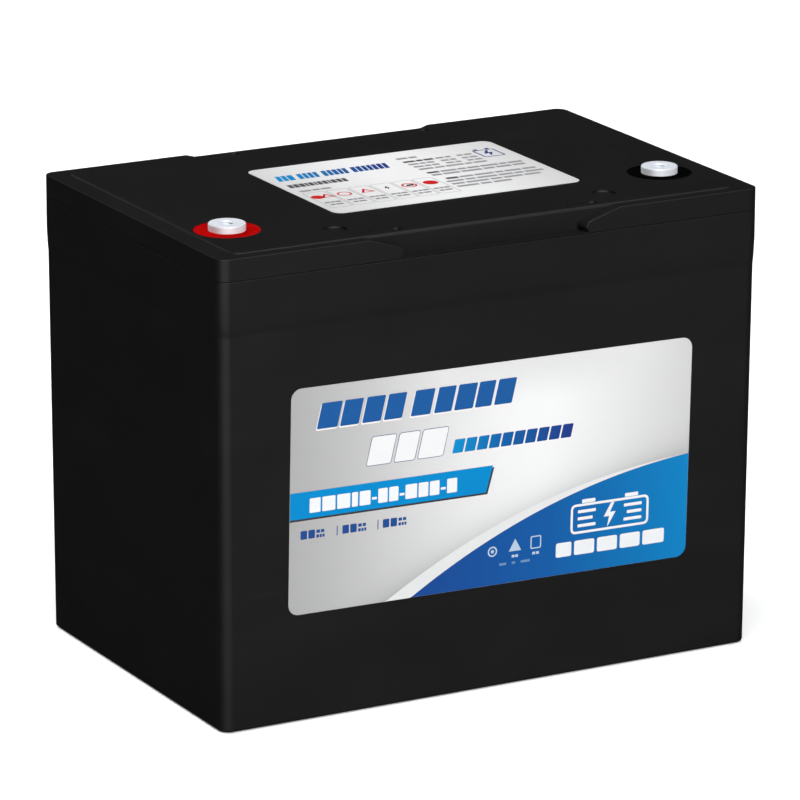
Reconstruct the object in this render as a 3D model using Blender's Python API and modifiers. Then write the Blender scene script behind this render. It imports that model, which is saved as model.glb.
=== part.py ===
"""Deep cycle battery: a sealed 12 V absorbed-glass-mat battery of group 24 size.

Six two-volt cells stand in a row along X, in a moulded container with five
partitions. An inner lid seals the cells and carries one rubber vent valve for
each, and a shallow top cover closes the battery over it. Both terminals are
near the front long side (-Y), with the positive one at -X.

The origin is at the centre of the base. Lengths are in metres and +Z is up.
"""

import math

import bmesh
import bpy
from mathutils import Vector

# ---------------------------------------------------------------- dimensions

# Whole battery
LENGTH = 0.2600
WIDTH = 0.1680
CORNER_RADIUS = 0.0050
GAP = 0.0003                     # running clearance between any two pieces

# Container, with a slight draft below its thicker collar
BASE_LENGTH = 0.2575
BASE_WIDTH = 0.1653
NECK_LENGTH = 0.2591             # drafted wall just under the collar
NECK_WIDTH = 0.1671
COLLAR_BOTTOM = 0.1733
COLLAR_FULL = 0.1823             # the collar reaches its full size here
COLLAR_STEP = 0.00025            # step out at the collar's lower edge
CASE_TOP = 0.1952
CASE_RIM_FILLET = 0.0008

# Cells inside the container
CELL_COUNT = 6
CAVITY_LENGTH = 0.2472
CAVITY_WIDTH = 0.1532
CAVITY_RADIUS = 0.0030
CASE_FLOOR = 0.0050
CELL_SIDE_STEP = 0.00003         # a cell is this much narrower than the mouth above it
PARTITION = 0.0024
PARTITION_TOP = 0.1830

# Inner lid
LID_PLATE = 0.0030
LID_RIM = 0.0025                 # wall of the rim along each long side
LID_RIM_TOP = 0.1900
POCKET_RADIUS = 0.0015
NECK_RADIUS = 0.0070
NECK_BORE = 0.0045
NECK_TOP = 0.1940
BOSS_RADIUS = 0.0125
BOSS_TOP = 0.1910
BOSS_COUNTERBORE = 0.0030

# Rubber vent valves
VALVE_WALL = 0.0013
VALVE_ROOF = 0.0019
VALVE_SKIRT_BOTTOM = 0.1875
VALVE_LIFT = 0.0008

# Top cover
SKIRT_TOP = 0.2050
SKIRT_FILLET = 0.0005
PLATEAU_TOP = 0.2056
PLATEAU_FILLET = 0.0010
PLATEAU_HALF_X = 0.1215
PLATEAU_HALF_Y = 0.0786
COVER_ROOF = 0.0026              # thickness under the plateau
COVER_WALL = 0.0025
NOSE_X = 0.0466                  # centre of a skirt's round nose, beside a side recess
NOSE_Z = 0.1981
NOSE_RADIUS = 0.0026             # at the outer face
NOSE_ROOT_RADIUS = 0.0041        # where the nose meets the plateau
NOSE_SLOPE = math.radians(17.0)  # the skirt's top edge falls to the nose at this angle
NOSE_BLOCK_X = 0.0620            # the cover is solid behind each nose, out to here
SLOT_X = 0.0474
SLOT_Y = 0.0736
SLOT_LENGTH = 0.0149
SLOT_WIDTH = 0.0046
SLOT_DEPTH = 0.0011
DIMPLE_X = 0.0650
DIMPLE_Y = -0.0623
DIMPLE_RADIUS = 0.0052
DIMPLE_DEPTH = 0.0010
SLIT_X = 0.1125                  # the gas leaves through a narrow slit at each end
SLIT_LENGTH = 0.0255
SLIT_WIDTH = 0.0005
SLIT_Y = -0.0008

# Terminals
TERMINAL_X = 0.1050
TERMINAL_Y = -0.0420
TERMINAL_TOP = 0.2087
TERMINAL_RADIUS = 0.00793
TERMINAL_EDGE = 0.0005
BORE_RADIUS = 0.0031             # clears an M6 thread's major diameter
BORE_DEPTH = 0.0120
COUNTERSINK = 0.0008
STUB_RADIUS = 0.0052
STUB_BOTTOM = 0.1943
FLANGE_BOTTOM = 0.1997
POST_RADIUS = 0.0075
SEAL_RADIUS = 0.0141             # coloured epoxy fills a round well to here
SEAL_BOTTOM = 0.1991
WELL_WALL = 0.0024
WELL_BOTTOM = 0.1970
ORING_TUBE = 0.0010

# Plate packs
POSITIVE_PLATES = 4
POSITIVE_THICKNESS = 0.0032
NEGATIVE_THICKNESS = 0.0023
PLATE_SPACE = 0.0017             # between neighbouring plates, filled by the mat
PLATE_WIDTH = 0.1450
PLATE_BOTTOM = 0.0070
PLATE_TOP = 0.1570
LUG_WIDTH = 0.0110
STRAP_Y = 0.0420
STRAP_WIDTH = 0.0170
STRAP_BOTTOM = 0.1655
STRAP_TOP = 0.1720
TAB_THICKNESS = 0.0030
TAB_TOP = 0.1810
WELD_Z = 0.1755
WELD_RADIUS = 0.0042
MAT_THICKNESS = 0.0011
MAT_BOTTOM = 0.0053
MAT_TOP = 0.1600

# Labels
LABEL_THICKNESS = 0.00025
FRONT_LABEL_SIZE = (0.1944, 0.0985)
FRONT_LABEL_CENTRE = (-0.0003, 0.0951)
FRONT_LABEL_RADIUS = 0.0048
FRONT_LABEL_ROLL = math.radians(-0.8)    # applied a little clockwise, seen from the front
TOP_LABEL_SIZE = (0.1203, 0.0836)
TOP_LABEL_CENTRE = (0.0073, 0.0009)
TOP_LABEL_RADIUS = 0.0045

# Values that follow from the ones above
CELL_PITCH = (CAVITY_LENGTH + PARTITION) / CELL_COUNT
CELL_LENGTH = CELL_PITCH - PARTITION
LID_BOTTOM = PARTITION_TOP + GAP
LID_TOP = LID_BOTTOM + LID_PLATE
COVER_BOTTOM = CASE_TOP + GAP
COVER_UNDERSIDE = PLATEAU_TOP - COVER_ROOF
VALVE_TOP = NECK_TOP + GAP + VALVE_ROOF
PLATE_STEP = (POSITIVE_THICKNESS + NEGATIVE_THICKNESS) / 2 + PLATE_SPACE
BELOW = 0.006                    # how far a cutter runs past the surface it opens
ABOVE = 0.010
OVERLAP = 0.002                  # how far two joined solids reach into each other
CORNER_STEPS = 6
FILLET_STEPS = 3

# ---------------------------------------------------------------- scene set-up


def start_scene():
    """Remove the objects that are there, and make the two collections."""
    for obj in list(bpy.data.objects):
        bpy.data.objects.remove(obj, do_unlink=True)
    parts = bpy.data.collections.new("deep_cycle_battery")
    tools = bpy.data.collections.new("cutters")
    for collection in (parts, tools):
        bpy.context.scene.collection.children.link(collection)
    return parts, tools


PARTS, TOOLS = start_scene()


def make_material(name, color, roughness, metallic=0.0):
    material = bpy.data.materials.new(name)
    material.use_nodes = True
    shader = material.node_tree.nodes["Principled BSDF"]
    shader.inputs["Base Color"].default_value = (*color, 1.0)
    shader.inputs["Roughness"].default_value = roughness
    shader.inputs["Metallic"].default_value = metallic
    return material


MATERIALS = {
    "case_plastic": make_material("case_plastic", (0.012, 0.012, 0.012), 0.45),
    "lid_plastic": make_material("lid_plastic", (0.020, 0.020, 0.021), 0.50),
    "valve_rubber": make_material("valve_rubber", (0.030, 0.030, 0.032), 0.80),
    "label_film": make_material("label_film", (0.80, 0.81, 0.83), 0.35),
    "tinned_brass": make_material("tinned_brass", (0.80, 0.80, 0.83), 0.30, 1.0),
    "lead": make_material("lead", (0.35, 0.36, 0.39), 0.55, 1.0),
    "positive_paste": make_material("positive_paste", (0.16, 0.07, 0.04), 0.90),
    "negative_paste": make_material("negative_paste", (0.30, 0.31, 0.32), 0.85),
    "glass_mat": make_material("glass_mat", (0.86, 0.86, 0.84), 0.95),
    "red_epoxy": make_material("red_epoxy", (0.48, 0.0, 0.0), 0.40),
    "black_epoxy": make_material("black_epoxy", (0.001, 0.001, 0.001), 0.40),
}

# ---------------------------------------------------------------- shape tools


def finish_mesh(bm, name):
    """Turn a bmesh into a smooth-shaded mesh whose faces point out."""
    bmesh.ops.recalc_face_normals(bm, faces=bm.faces)
    mesh = bpy.data.meshes.new(name)
    bm.to_mesh(mesh)
    bm.free()
    mesh.shade_smooth()
    mesh.set_sharp_from_angle(angle=math.radians(32.0))
    return mesh


def place(name, mesh, material=None, location=(0.0, 0.0, 0.0)):
    """Add an object: a part if it has a material, otherwise a hidden tool."""
    obj = bpy.data.objects.new(name, mesh)
    obj.location = location
    if material:
        mesh.materials.append(MATERIALS[material])
        PARTS.objects.link(obj)
    else:
        obj.hide_render = True
        obj.display_type = "WIRE"
        TOOLS.objects.link(obj)
    return obj


def boolean(target, tool, operation):
    modifier = target.modifiers.new(f"{operation.lower()}_{tool.name}", "BOOLEAN")
    modifier.operation = operation
    modifier.solver = "EXACT"
    modifier.object = tool


def arc(centre_x, centre_y, radius, start, end, steps):
    """Points on an arc, both ends included, with angles in degrees."""
    points = []
    for index in range(steps + 1):
        angle = math.radians(start + (end - start) * index / steps)
        points.append((centre_x + radius * math.cos(angle), centre_y + radius * math.sin(angle)))
    return points


def round_rect(half_x, half_y, radius, steps=CORNER_STEPS):
    """Anticlockwise outline of a rectangle with round corners."""
    inner_x = half_x - radius
    inner_y = half_y - radius
    points = arc(inner_x, inner_y, radius, 0, 90, steps)
    points += arc(-inner_x, inner_y, radius, 90, 180, steps)
    points += arc(-inner_x, -inner_y, radius, 180, 270, steps)
    points += arc(inner_x, -inner_y, radius, 270, 360, steps)
    return points


def add_prism(bm, outline, low, high, along="Z", offset=(0.0, 0.0, 0.0)):
    """Extrude an outline from low to high along an axis.

    Along Z the outline is (x, y), along Y it is (x, z) and along X it is (y, z).
    """
    place_point = {
        "X": lambda a, b, depth: (depth, a, b),
        "Y": lambda a, b, depth: (a, depth, b),
        "Z": lambda a, b, depth: (a, b, depth),
    }[along]
    shift = Vector(offset)
    ring = [bm.verts.new(Vector(place_point(a, b, low)) + shift) for a, b in outline]
    face = bm.faces.new(ring)
    grown = bmesh.ops.extrude_face_region(bm, geom=[face])
    tops = [item for item in grown["geom"] if isinstance(item, bmesh.types.BMVert)]
    step = Vector(place_point(0.0, 0.0, high - low))
    bmesh.ops.translate(bm, verts=tops, vec=step)


def add_box(bm, low, high):
    """A box between two corners, grown from Blender's cube."""
    centre = [(a + b) / 2 for a, b in zip(low, high)]
    size = [b - a for a, b in zip(low, high)]
    cube = bmesh.ops.create_cube(bm, size=1.0)
    bmesh.ops.scale(bm, verts=cube["verts"], vec=size)
    bmesh.ops.translate(bm, verts=cube["verts"], vec=centre)


def add_cylinder(bm, x, y, radius, low, high, segments=24):
    cone = bmesh.ops.create_cone(bm, cap_ends=True, segments=segments, radius1=radius,
                                 radius2=radius, depth=high - low)
    bmesh.ops.translate(bm, verts=cone["verts"], vec=(x, y, (low + high) / 2))


def loft(bm, rings):
    """A closed solid through rings that all have the same number of points."""
    loops = [[bm.verts.new(point) for point in ring] for ring in rings]
    count = len(loops[0])
    for lower, upper in zip(loops, loops[1:]):
        for index in range(count):
            after = (index + 1) % count
            bm.faces.new((lower[index], lower[after], upper[after], upper[index]))
    bm.faces.new(loops[0])
    bm.faces.new(loops[-1])


def stack(name, rings, radius):
    """Solid through a stack of rounded rectangles, given as (z, half_x, half_y)."""
    bm = bmesh.new()
    loft(bm, [[(x, y, z) for x, y in round_rect(half_x, half_y, radius)]
              for z, half_x, half_y in rings])
    return finish_mesh(bm, name)


def filleted_top(half_x, half_y, top, fillet):
    """Rings that round off the top edge of a stack."""
    rings = []
    for index in range(FILLET_STEPS + 1):
        angle = math.pi / 2 * index / FILLET_STEPS
        inset = fillet * (1.0 - math.cos(angle))
        rise = fillet * math.sin(angle)
        rings.append((top - fillet + rise, half_x - inset, half_y - inset))
    return rings


def turned(name, loop, steps, location, material):
    """Turn a closed loop of (radius, z) about Z. It runs down the outer side."""
    mesh = bpy.data.meshes.new(name)
    edges = []
    for index, (radius, _) in enumerate(loop):
        after = (index + 1) % len(loop)
        if radius > 0.0 or loop[after][0] > 0.0:
            edges.append((index, after))
    mesh.from_pydata([(radius, 0.0, z) for radius, z in loop], edges, [])
    obj = place(name, mesh, material, location)
    screw = obj.modifiers.new("turn", "SCREW")
    screw.steps = steps
    screw.render_steps = steps
    screw.use_merge_vertices = True
    screw.merge_threshold = 0.00001
    screw.use_smooth_shade = True
    return obj


def cell_x(cell):
    """X of a cell's centre. Cells are numbered 1 to 6 from the positive end."""
    return (cell - (CELL_COUNT + 1) / 2) * CELL_PITCH


def strap_side(cell):
    """-1 where a cell's positive strap is at the front, 1 where it is at the back."""
    return -1 if cell % 2 else 1


# ---------------------------------------------------------------- container


def cell_pockets(name, low, high, half_y, radius, inset=0.0):
    """One rounded block for each cell, as a single tool."""
    bm = bmesh.new()
    outline = round_rect(CELL_LENGTH / 2 - inset, half_y, radius, 3)
    for cell in range(1, CELL_COUNT + 1):
        add_prism(bm, outline, low, high, offset=(cell_x(cell), 0.0, 0.0))
    return place(name, finish_mesh(bm, name))


def weld_places():
    """X and Y of each weld through a partition, from the positive end."""
    places = []
    for cell in range(1, CELL_COUNT):
        places.append((cell_x(cell) + CELL_PITCH / 2, -strap_side(cell) * STRAP_Y))
    return places


def weld_holes():
    bm = bmesh.new()
    for x, y in weld_places():
        hole = arc(y, WELD_Z, WELD_RADIUS + GAP, 0, 337.5, 15)
        add_prism(bm, hole, x - PARTITION, x + PARTITION, along="X")
    return place("weld_holes", finish_mesh(bm, "weld_holes"))


def make_container():
    rings = [
        (0.0, BASE_LENGTH / 2, BASE_WIDTH / 2),
        (COLLAR_BOTTOM, NECK_LENGTH / 2, NECK_WIDTH / 2),
        (COLLAR_BOTTOM + COLLAR_STEP, NECK_LENGTH / 2 + COLLAR_STEP, NECK_WIDTH / 2 + COLLAR_STEP),
        (COLLAR_FULL, LENGTH / 2, WIDTH / 2),
    ]
    rings += filleted_top(LENGTH / 2, WIDTH / 2, CASE_TOP, CASE_RIM_FILLET)
    container = place("container", stack("container", rings, CORNER_RADIUS), "case_plastic")

    mouth_rings = [(z, CAVITY_LENGTH / 2, CAVITY_WIDTH / 2)
                   for z in (PARTITION_TOP, CASE_TOP + ABOVE)]
    mouth = place("container_mouth", stack("container_mouth", mouth_rings, CAVITY_RADIUS))
    boolean(container, mouth, "DIFFERENCE")
    cells = cell_pockets("container_cells", CASE_FLOOR, PARTITION_TOP + OVERLAP,
                         CAVITY_WIDTH / 2 - CELL_SIDE_STEP, CAVITY_RADIUS)
    boolean(container, cells, "DIFFERENCE")
    boolean(container, weld_holes(), "DIFFERENCE")
    boolean(container, recess_ledges(), "UNION")


def recess_ledges():
    """Raised floor of each side recess, level with the seam under the top cover."""
    half_x = NOSE_X - NOSE_ROOT_RADIUS - GAP
    inside = PLATEAU_HALF_Y + GAP
    outside = WIDTH / 2 - CASE_RIM_FILLET
    bm = bmesh.new()
    add_box(bm, (-half_x, inside, CASE_TOP - BELOW), (half_x, outside, COVER_BOTTOM))
    add_box(bm, (-half_x, -outside, CASE_TOP - BELOW), (half_x, -inside, COVER_BOTTOM))
    return place("recess_ledges", finish_mesh(bm, "recess_ledges"))


# ---------------------------------------------------------------- inner lid


def terminal_places():
    return [(-TERMINAL_X, TERMINAL_Y), (TERMINAL_X, TERMINAL_Y)]


def make_inner_lid():
    half_x = CAVITY_LENGTH / 2 - GAP
    half_y = CAVITY_WIDTH / 2 - GAP
    rings = [(LID_BOTTOM, half_x, half_y), (LID_RIM_TOP, half_x, half_y)]
    lid = place("inner_lid", stack("inner_lid", rings, CAVITY_RADIUS), "lid_plastic")

    pockets = cell_pockets("inner_lid_pockets", LID_TOP, LID_RIM_TOP + BELOW,
                           half_y - LID_RIM, POCKET_RADIUS, inset=GAP)
    boolean(lid, pockets, "DIFFERENCE")

    bm = bmesh.new()
    root = LID_TOP - LID_PLATE / 2
    for cell in range(1, CELL_COUNT + 1):
        add_cylinder(bm, cell_x(cell), 0.0, NECK_RADIUS, root, NECK_TOP)
    for x, y in terminal_places():
        add_cylinder(bm, x, y, BOSS_RADIUS, root, BOSS_TOP)
    boolean(lid, place("inner_lid_necks", finish_mesh(bm, "inner_lid_necks")), "UNION")

    bm = bmesh.new()
    for cell in range(1, CELL_COUNT + 1):
        add_cylinder(bm, cell_x(cell), 0.0, NECK_BORE, LID_BOTTOM - BELOW, NECK_TOP + BELOW, 16)
    for x, y in terminal_places():
        add_cylinder(bm, x, y, POST_RADIUS + GAP, LID_BOTTOM - BELOW, BOSS_TOP + BELOW)
    boolean(lid, place("inner_lid_bores", finish_mesh(bm, "inner_lid_bores")), "DIFFERENCE")

    bm = bmesh.new()
    seat = POST_RADIUS + 2 * ORING_TUBE + 3 * GAP
    for x, y in terminal_places():
        add_cylinder(bm, x, y, seat, BOSS_TOP - BOSS_COUNTERBORE, BOSS_TOP + BELOW)
    boolean(lid, place("oring_seats", finish_mesh(bm, "oring_seats")), "DIFFERENCE")


def make_valves():
    """A rubber cap on each neck. Gas lifts it, and its own spring closes it."""
    inner = NECK_RADIUS + GAP
    outer = inner + VALVE_WALL
    chamfer = VALVE_ROOF / 2
    profile = [
        (0.0, VALVE_TOP),
        (outer - chamfer, VALVE_TOP),
        (outer, VALVE_TOP - chamfer),
        (outer, VALVE_SKIRT_BOTTOM),
        (inner, VALVE_SKIRT_BOTTOM),
        (inner, NECK_TOP + GAP),
        (0.0, NECK_TOP + GAP),
    ]
    for cell in range(1, CELL_COUNT + 1):
        axis = bpy.data.objects.new(f"valve_{cell}_axis", None)
        axis.location = (cell_x(cell), 0.0, NECK_TOP)
        PARTS.objects.link(axis)
        local = [(radius, z - NECK_TOP) for radius, z in profile]
        cap = turned(f"valve_cap_{cell}", local, 24, (0.0, 0.0, 0.0), "valve_rubber")
        cap.parent = axis


# ---------------------------------------------------------------- top cover


def side_recess_outline(nose_radius):
    """Outline in X and Z of the space between two skirt noses."""
    slope = math.degrees(NOSE_SLOPE)
    nose = arc(NOSE_X, NOSE_Z, nose_radius, 90 + slope, 255, 8)
    start_x, start_z = nose[0]
    top_z = SKIRT_TOP + OVERLAP
    top_x = start_x + (top_z - start_z) / math.tan(NOSE_SLOPE)
    right = [(top_x, top_z)] + nose + [(nose[-1][0], COVER_BOTTOM - BELOW)]
    left = [(-x, z) for x, z in reversed(right)]
    return right + left


def make_cover_blank():
    """The cover's outside: a skirt with two side recesses, and a raised plateau."""
    low = COVER_BOTTOM - BELOW
    rings = [(low, LENGTH / 2, WIDTH / 2)]
    rings += filleted_top(LENGTH / 2, WIDTH / 2, SKIRT_TOP, SKIRT_FILLET)
    cover = place("top_cover", stack("top_cover", rings, CORNER_RADIUS), "case_plastic")

    sections = [
        (PLATEAU_HALF_Y - PLATEAU_FILLET, NOSE_ROOT_RADIUS),
        (PLATEAU_HALF_Y, NOSE_ROOT_RADIUS),
        (WIDTH / 2, NOSE_RADIUS),
        (WIDTH / 2 + ABOVE, NOSE_RADIUS),
    ]
    bm = bmesh.new()
    for side in (-1, 1):
        loft(bm, [[(x, side * y, z) for x, z in side_recess_outline(radius)]
                  for y, radius in sections])
    boolean(cover, place("side_recesses", finish_mesh(bm, "side_recesses")), "DIFFERENCE")

    rings = [(low + OVERLAP, PLATEAU_HALF_X, PLATEAU_HALF_Y)]
    rings += filleted_top(PLATEAU_HALF_X, PLATEAU_HALF_Y, PLATEAU_TOP, PLATEAU_FILLET)
    plateau = place("plateau", stack("plateau", rings, CORNER_RADIUS))
    boolean(cover, plateau, "UNION")
    return cover


def hollow_outline():
    """Plan of the cover's hollow, which steps in behind each side recess."""
    half_x = LENGTH / 2 - COVER_WALL
    half_y = WIDTH / 2 - COVER_WALL
    step_y = PLATEAU_HALF_Y - COVER_WALL
    radius = CORNER_RADIUS - COVER_WALL
    corners = round_rect(half_x, half_y, radius, 3)
    per_corner = 4
    back = corners[:per_corner] + [(NOSE_BLOCK_X, half_y), (NOSE_BLOCK_X, step_y),
                                   (-NOSE_BLOCK_X, step_y), (-NOSE_BLOCK_X, half_y)]
    back += corners[per_corner:2 * per_corner]
    front = [(-x, -y) for x, y in back]
    return back + front


def make_top_cover():
    cover = make_cover_blank()

    bm = bmesh.new()
    add_prism(bm, hollow_outline(), COVER_BOTTOM - 2 * BELOW, COVER_UNDERSIDE)
    boolean(cover, place("cover_hollow", finish_mesh(bm, "cover_hollow")), "DIFFERENCE")
    bm = bmesh.new()
    add_box(bm, (-LENGTH, -WIDTH, COVER_BOTTOM - 2 * BELOW), (LENGTH, WIDTH, COVER_BOTTOM))
    boolean(cover, place("cover_trim", finish_mesh(bm, "cover_trim")), "DIFFERENCE")

    bm = bmesh.new()
    root = COVER_UNDERSIDE + COVER_ROOF / 2
    stop = VALVE_TOP + VALVE_LIFT + 1.5 * GAP
    for cell in range(1, CELL_COUNT + 1):
        add_cylinder(bm, cell_x(cell), 0.0, NECK_BORE, stop, root, 12)
    for x, y in terminal_places():
        add_cylinder(bm, x, y, SEAL_RADIUS + WELL_WALL, WELL_BOTTOM, root, 36)
    boolean(cover, place("cover_bosses", finish_mesh(bm, "cover_bosses")), "UNION")

    bm = bmesh.new()
    for x, y in terminal_places():
        add_cylinder(bm, x, y, SEAL_RADIUS, SEAL_BOTTOM - GAP, PLATEAU_TOP + ABOVE, 48)
    boolean(cover, place("terminal_wells", finish_mesh(bm, "terminal_wells")), "DIFFERENCE")
    bm = bmesh.new()
    for x, y in terminal_places():
        add_cylinder(bm, x, y, TERMINAL_RADIUS + GAP, WELL_BOTTOM - BELOW, PLATEAU_TOP + ABOVE, 36)
    boolean(cover, place("terminal_holes", finish_mesh(bm, "terminal_holes")), "DIFFERENCE")
    boolean(cover, place("cover_marks", cover_marks()), "DIFFERENCE")


def cover_marks():
    """Four slots, two round pockets and two gas slits in the plateau."""
    bm = bmesh.new()
    end = SLOT_LENGTH / 2 - SLOT_WIDTH / 2
    slot = arc(end, 0.0, SLOT_WIDTH / 2, -90, 90, 6) + arc(-end, 0.0, SLOT_WIDTH / 2, 90, 270, 6)
    for x in (-SLOT_X, SLOT_X):
        for y in (-SLOT_Y, SLOT_Y):
            add_prism(bm, slot, PLATEAU_TOP - SLOT_DEPTH, PLATEAU_TOP + BELOW, offset=(x, y, 0.0))

    for x in (-DIMPLE_X, DIMPLE_X):
        add_cylinder(bm, x, DIMPLE_Y, DIMPLE_RADIUS, PLATEAU_TOP - DIMPLE_DEPTH,
                     PLATEAU_TOP + BELOW, 40)

    for x in (-SLIT_X, SLIT_X):
        add_box(bm, (x - SLIT_WIDTH / 2, SLIT_Y - SLIT_LENGTH / 2, COVER_UNDERSIDE - OVERLAP),
                (x + SLIT_WIDTH / 2, SLIT_Y + SLIT_LENGTH / 2, PLATEAU_TOP + BELOW))
    return finish_mesh(bm, "cover_marks")


# ---------------------------------------------------------------- terminals


def make_terminals():
    """Post, threaded insert, O-ring and coloured seal at each end."""
    insert_profile = [
        (BORE_RADIUS + COUNTERSINK, TERMINAL_TOP),
        (TERMINAL_RADIUS - TERMINAL_EDGE, TERMINAL_TOP),
        (TERMINAL_RADIUS, TERMINAL_TOP - TERMINAL_EDGE),
        (TERMINAL_RADIUS, FLANGE_BOTTOM),
        (STUB_RADIUS, FLANGE_BOTTOM),
        (STUB_RADIUS, STUB_BOTTOM),
        (0.0, STUB_BOTTOM),
        (0.0, TERMINAL_TOP - BORE_DEPTH),
        (BORE_RADIUS, TERMINAL_TOP - BORE_DEPTH),
        (BORE_RADIUS, TERMINAL_TOP - COUNTERSINK),
    ]
    post_profile = [
        (STUB_RADIUS + GAP, FLANGE_BOTTOM - GAP),
        (POST_RADIUS, FLANGE_BOTTOM - GAP),
        (POST_RADIUS, STRAP_TOP + GAP),
        (0.0, STRAP_TOP + GAP),
        (0.0, STUB_BOTTOM - GAP),
        (STUB_RADIUS + GAP, STUB_BOTTOM - GAP),
    ]
    seal_profile = [
        (TERMINAL_RADIUS + GAP, PLATEAU_TOP),
        (SEAL_RADIUS - GAP, PLATEAU_TOP),
        (SEAL_RADIUS - GAP, SEAL_BOTTOM),
        (TERMINAL_RADIUS + GAP, SEAL_BOTTOM),
    ]
    ring_z = BOSS_TOP - BOSS_COUNTERBORE + GAP + ORING_TUBE
    ring_radius = POST_RADIUS + ORING_TUBE + 1.5 * GAP
    ring_profile = arc(ring_radius, ring_z, ORING_TUBE, 90, -225, 7)

    seals = {"positive": "red_epoxy", "negative": "black_epoxy"}
    for (pole, seal), (x, y) in zip(seals.items(), terminal_places()):
        axis = (x, y, 0.0)
        turned(f"{pole}_terminal_insert", insert_profile, 40, axis, "tinned_brass")
        turned(f"{pole}_terminal_post", post_profile, 24, axis, "lead")
        turned(f"{pole}_seal_ring", seal_profile, 40, axis, seal)
        turned(f"{pole}_oring", ring_profile, 24, axis, "valve_rubber")


# ---------------------------------------------------------------- plate packs


def plate_outline(lug_y):
    """Plate with its lug, in Y and Z."""
    half = PLATE_WIDTH / 2
    lug = LUG_WIDTH / 2
    lug_top = (STRAP_BOTTOM + STRAP_TOP) / 2
    return [(-half, PLATE_BOTTOM), (half, PLATE_BOTTOM), (half, PLATE_TOP), (lug_y + lug, PLATE_TOP),
            (lug_y + lug, lug_top), (lug_y - lug, lug_top), (lug_y - lug, PLATE_TOP),
            (-half, PLATE_TOP)]


def strap_outline(half_x, tab_side):
    """Strap in X and Z, with a tab that stands up against a partition."""
    if tab_side == 0:
        return [(-half_x, STRAP_BOTTOM), (half_x, STRAP_BOTTOM), (half_x, STRAP_TOP),
                (-half_x, STRAP_TOP)]
    face = CELL_LENGTH / 2 - GAP
    back = face - TAB_THICKNESS
    outline = [(-half_x, STRAP_BOTTOM), (face, STRAP_BOTTOM), (face, TAB_TOP), (back, TAB_TOP),
               (back, STRAP_TOP), (-half_x, STRAP_TOP)]
    return [(tab_side * x, z) for x, z in outline]


def make_plate_group(name, cell, count, thickness, side, tab_side, material):
    """Plates whose lugs are cast into one strap, as one solid."""
    centre = cell_x(cell)
    offsets = [(index - (count - 1) / 2) * 2 * PLATE_STEP for index in range(count)]
    half_x = offsets[-1] + thickness / 2 + 2 * GAP
    bm = bmesh.new()
    low = side * STRAP_Y - STRAP_WIDTH / 2
    add_prism(bm, strap_outline(half_x, tab_side), low, low + STRAP_WIDTH, along="Y")
    group = place(name, finish_mesh(bm, name), material, (centre, 0.0, 0.0))

    bm = bmesh.new()
    for offset in offsets:
        add_prism(bm, plate_outline(side * STRAP_Y), offset - thickness / 2,
                  offset + thickness / 2, along="X")
    plates = place(f"{name}_plates", finish_mesh(bm, f"{name}_plates"), None, (centre, 0.0, 0.0))
    boolean(group, plates, "UNION")


def thicken(path, half):
    """Outline of a sheet of a given half thickness, along a square-cornered path."""
    normals = []
    for (x0, y0), (x1, y1) in zip(path, path[1:]):
        length = math.hypot(x1 - x0, y1 - y0)
        normals.append(((y0 - y1) / length, (x1 - x0) / length))
    left = []
    right = []
    for index, (x, y) in enumerate(path):
        pair = normals[max(index - 1, 0):index + 1]
        shift_x = half * sum(normal[0] for normal in pair)
        shift_y = half * sum(normal[1] for normal in pair)
        left.append((x + shift_x, y + shift_y))
        right.append((x - shift_x, y - shift_y))
    return right + left[::-1]


def make_separator(cell):
    """Glass mat folded to and fro between the plates, as one long sheet."""
    gaps = 2 * POSITIVE_PLATES
    fold_y = PLATE_WIDTH / 2 + GAP + MAT_THICKNESS / 2
    path = []
    for index in range(gaps):
        x = (index - (gaps - 1) / 2) * PLATE_STEP
        way = 1 if index % 2 == 0 else -1
        path += [(x, -way * fold_y), (x, way * fold_y)]
    bm = bmesh.new()
    outline = thicken(path, MAT_THICKNESS / 2)
    add_prism(bm, outline, MAT_BOTTOM, MAT_TOP, offset=(cell_x(cell), 0.0, 0.0))
    name = f"separator_{cell}"
    place(name, finish_mesh(bm, name), "glass_mat")


def make_cells():
    for cell in range(1, CELL_COUNT + 1):
        side = strap_side(cell)
        positive_tab = 0 if cell == 1 else -1
        negative_tab = 0 if cell == CELL_COUNT else 1
        make_plate_group(f"positive_plates_{cell}", cell, POSITIVE_PLATES, POSITIVE_THICKNESS,
                         side, positive_tab, "positive_paste")
        make_plate_group(f"negative_plates_{cell}", cell, POSITIVE_PLATES + 1, NEGATIVE_THICKNESS,
                         -side, negative_tab, "negative_paste")
        make_separator(cell)


def make_intercell_welds():
    """Lead nuggets that join neighbouring tabs through the partitions."""
    for number, (x, y) in enumerate(weld_places(), 1):
        bm = bmesh.new()
        outline = arc(y, WELD_Z, WELD_RADIUS, 0, 337.5, 15)
        half = PARTITION / 2
        add_prism(bm, outline, x - half, x + half, along="X")
        name = f"intercell_weld_{number}"
        place(name, finish_mesh(bm, name), "lead")


# ---------------------------------------------------------------- labels


def make_label(name, size, radius, location, tilt, roll=0.0):
    """A film with round corners, that lies just off the surface behind it."""
    bm = bmesh.new()
    cosine = math.cos(roll)
    sine = math.sin(roll)
    outline = [(cosine * x - sine * y, sine * x + cosine * y)
               for x, y in round_rect(size[0] / 2, size[1] / 2, radius, 8)]
    add_prism(bm, outline, 0.0, LABEL_THICKNESS)
    label = place(name, finish_mesh(bm, name), "label_film", location)
    label.rotation_euler = (tilt, 0.0, 0.0)


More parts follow.
